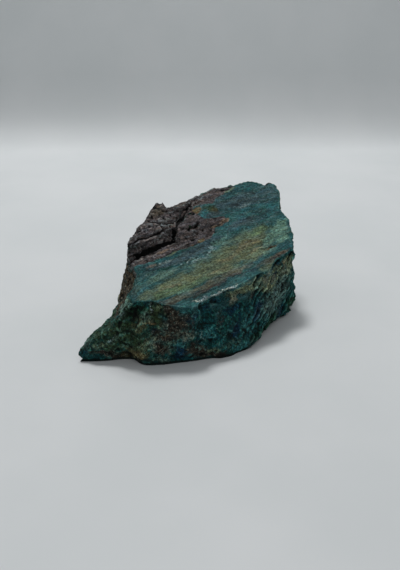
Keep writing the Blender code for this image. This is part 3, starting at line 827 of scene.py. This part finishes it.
def marked(n, colour):
    """Hairlines, scratches along the bands, sandy crumbs, pale flecks and dark pits."""
    line = n.math("ABSOLUTE", n.math("SUBTRACT", n.noise(n.grain, 0.55, 7.0, 0.6, 0.8), 0.5))
    colour = n.mix(n.ramp(line, 0.018, 0.0, 0.0, 0.5), colour, PALETTE["hairline"])

    scratch = n.noise(n.drawn(n.bed, (0.12, 1.0, 1.0)), 3.2, 3.0, 0.6)
    plain = n.times(n.top, n.rest(n.matrix))
    colour = n.mix(n.times(n.ramp(scratch, 0.42, 0.32, 0.0, 0.5), plain), colour, PALETTE["scratch"])
    colour = n.mix(n.times(n.ramp(scratch, 0.59, 0.69, 0.0, 0.5), plain), colour, PALETTE["pale"])

    sand = n.noise(n.moved(n.loose, (21.0, 2.0, 14.0)), 1.4, 5.0, 0.8)
    sandy = n.math("ADD", n.share("brown"), n.times(n.share("moss"), 0.3), clamp=True)
    sandy = n.times(sandy, n.rough)
    colour = n.mix(n.times(n.ramp(sand, 0.50, 0.42, 0.0, 0.7), sandy), colour, PALETTE["pit"])
    colour = n.mix(n.times(n.ramp(sand, 0.55, 0.64, 0.0, 0.8), sandy), colour, PALETTE["sand"])

    fleck = n.ramp(n.noise(n.loose, 2.8, 2.0, 0.5), 0.64, 0.74)
    colour = n.mix(n.times(fleck, 0.55), colour, n.dust_and_highlight)
    pit = n.ramp(n.noise(n.loose, 1.7, 4.0, 0.65), 0.60, 0.70)
    pitted = n.times(n.times(pit, 0.7), n.math("MAXIMUM", n.rough, n.matrix))
    return n.mix(pitted, colour, PALETTE["pit"])


def painted_light_and_wear(n, colour):
    """Convex edges painted lighter, as rubbed wear and as a painted highlight, with painted shade in the
    crevices beside them and in the hollows, and broad bumps of the breaks painted lighter.
    """
    edge = n.share("edge")
    hollow = n.share("hollow")
    # Convex edges painted lighter and paler: rubbed wear, and a painted highlight.
    colour = n.shaded(colour, n.ramp(edge, 0.56, 0.95, 1.0, 2.0))
    colour = n.mix(n.ramp(edge, 0.60, 1.0, 0.0, 0.30), colour, n.dust_and_highlight)
    # Painted shade in small crevices.
    colour = n.mix(n.ramp(edge, 0.44, 0.10, 0.0, 0.6), colour, PALETTE["crevice_shade"])
    # Painted shade in broad hollows and at the foot.
    colour = n.mix(n.ramp(hollow, 0.48, 0.12, 0.0, 0.9), colour, PALETTE["shade"])
    # Painted light on the broad bumps of the breaks.
    return n.shaded(colour, n.ramp(hollow, 0.5, 0.9, 1.0, 1.5), n.rough)


def stone_material():
    material = bpy.data.materials.new("rough_turquoise")
    n = StoneNodes(material)
    n.put(n.shader.inputs["Base Color"], painted_light_and_wear(n, marked(n, toned(n, layered(n)))))
    dull = n.math("ADD", n.ramp(n.fine, 0.3, 0.7, 0.50, 0.80), n.times(n.matrix, 0.12), clamp=True)
    n.put(n.shader.inputs["Roughness"], dull)
    n.shader.inputs["Specular IOR Level"].default_value = 0.10
    bump = n.make("ShaderNodeBump")
    bump.inputs["Strength"].default_value = 0.8
    bump.inputs["Distance"].default_value = 0.0006
    crumbs = n.times(n.noise(n.loose, 4.5, 4.0, 0.6), 0.5)
    n.put(bump.inputs["Height"], n.math("ADD", n.noise(n.grain, 1.8, 6.0, 0.7), crumbs))
    n.put(n.shader.inputs["Normal"], bump.outputs["Normal"])
    return material


def stone_piece():
    points, triangles = dressed_shape(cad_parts["turquoise_stone"])
    # Colours follow evened normals, so that a pit keeps the colour round it.
    facing = unit(evened(point_normals(points, triangles), triangles, 10))
    shares = colour_shares(points, facing)
    # The edge share paints convex edges lighter and small crevices with shade; the hollow share paints broad
    # hollows with shade and broad bumps lighter.
    shares["edge"] = np.clip(0.5 + standing_out(points, triangles, 3) * 3.0, 0.0, 1.0)
    hollow = np.clip(0.5 + standing_out(points, triangles, 24) * 0.8, 0.0, 1.0)
    # The painted foot shade lowers the hollow share, so the foot is painted dark with shade too.
    shares["hollow"] = hollow * (1.0 - painted_foot_shade(points, facing))
    mesh = bpy.data.meshes.new("turquoise_stone_surface")
    mesh.from_pydata(((points - SHIFT) * MM).tolist(), [], triangles.tolist())
    for name, values in shares.items():
        layer = mesh.attributes.new(name, "FLOAT", "POINT")
        layer.data.foreach_set("value", values.astype(np.float32))
    mesh.polygons.foreach_set("use_smooth", [True] * len(mesh.polygons))
    mesh.materials.append(stone_material())
    piece = bpy.data.objects.new("turquoise_stone_surface", mesh)
    bpy.context.scene.collection.objects.link(piece)
    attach(piece, "root")
    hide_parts("turquoise_stone")


# ---------------------------------------------------------------- stage, lights and camera

def stage_material():
    material = bpy.data.materials.new("table")
    n = Nodes(material)
    place = n.make("ShaderNodeTexCoord").outputs["Object"]
    soft = n.noise(place, 18.0, 4.0, 0.5)
    colour = n.mix(n.ramp(soft, 0.3, 0.7), srgb(206, 210, 211), srgb(212, 215, 216))
    n.put(n.shader.inputs["Base Color"], colour)
    n.shader.inputs["Roughness"].default_value = 0.5
    n.shader.inputs["Specular IOR Level"].default_value = 0.25
    return material


def stage_sweep():
    """A pale table that curves up into a backdrop behind the stone."""
    half_width = 2.0
    curve_start = 0.205
    radius = 0.04
    steps = 24
    profile = [(-2.0, 0.0), (-0.6, 0.0), (0.0, 0.0), (curve_start, 0.0)]
    for i in range(1, steps + 1):
        angle = math.radians(86.0) * i / steps
        profile.append((curve_start + radius * math.sin(angle), radius * (1.0 - math.cos(angle))))
    last_y, _ = profile[-1]
    profile.append((last_y + 0.006, 0.15))
    corners = []
    for y, z in profile:
        corners.append((-half_width, y, z))
        corners.append((half_width, y, z))
    faces = [(2 * i, 2 * i + 1, 2 * i + 3, 2 * i + 2) for i in range(len(profile) - 1)]
    mesh = bpy.data.meshes.new("stage_sweep")
    mesh.from_pydata(corners, [], faces)
    mesh.polygons.foreach_set("use_smooth", [True] * len(mesh.polygons))
    mesh.materials.append(stage_material())
    sweep = bpy.data.objects.new("stage_sweep", mesh)
    bpy.context.scene.collection.objects.link(sweep)


def area_light(name, place, aim, size, watts):
    data = bpy.data.lights.new(name, "AREA")
    data.shape = "DISK"
    data.size = size
    data.energy = watts
    light = bpy.data.objects.new(name, data)
    light.location = place
    light.rotation_euler = (Vector(aim) - Vector(place)).to_track_quat("-Z", "Y").to_euler()
    bpy.context.scene.collection.objects.link(light)


def lights():
    area_light("key_light", (-0.26, 0.45, 1.38), (0.0, 0.0, 0.0), 0.30, 9.8)
    area_light("back_light", (0.0, 0.14, 0.36), (0.0, 0.25, 0.02), 0.10, 0.24)
    area_light("front_light", (0.20, -0.80, 1.00), (0.0, 0.0, 0.02), 0.25, 1.05)
    world = bpy.data.worlds.new("soft_room")
    world.use_nodes = True
    background = world.node_tree.nodes["Background"]
    background.inputs["Color"].default_value = (0.95, 0.975, 1.0, 1.0)
    background.inputs["Strength"].default_value = 0.31
    bpy.context.scene.world = world


def camera():
    data = bpy.data.cameras.new("camera")
    data.lens = 50.0
    data.sensor_width = 36.0
    eye = bpy.data.objects.new("camera", data)
    eye.location = (CAMERA_PLACE - SHIFT) * MM
    eye.rotation_euler = (math.radians(90.0 - CAMERA_DIP), 0.0, 0.0)
    bpy.context.scene.collection.objects.link(eye)
    bpy.context.scene.camera = eye


stone_piece()
stage_sweep()
lights()
camera()
bpy.context.scene.view_settings.view_transform = "Standard"
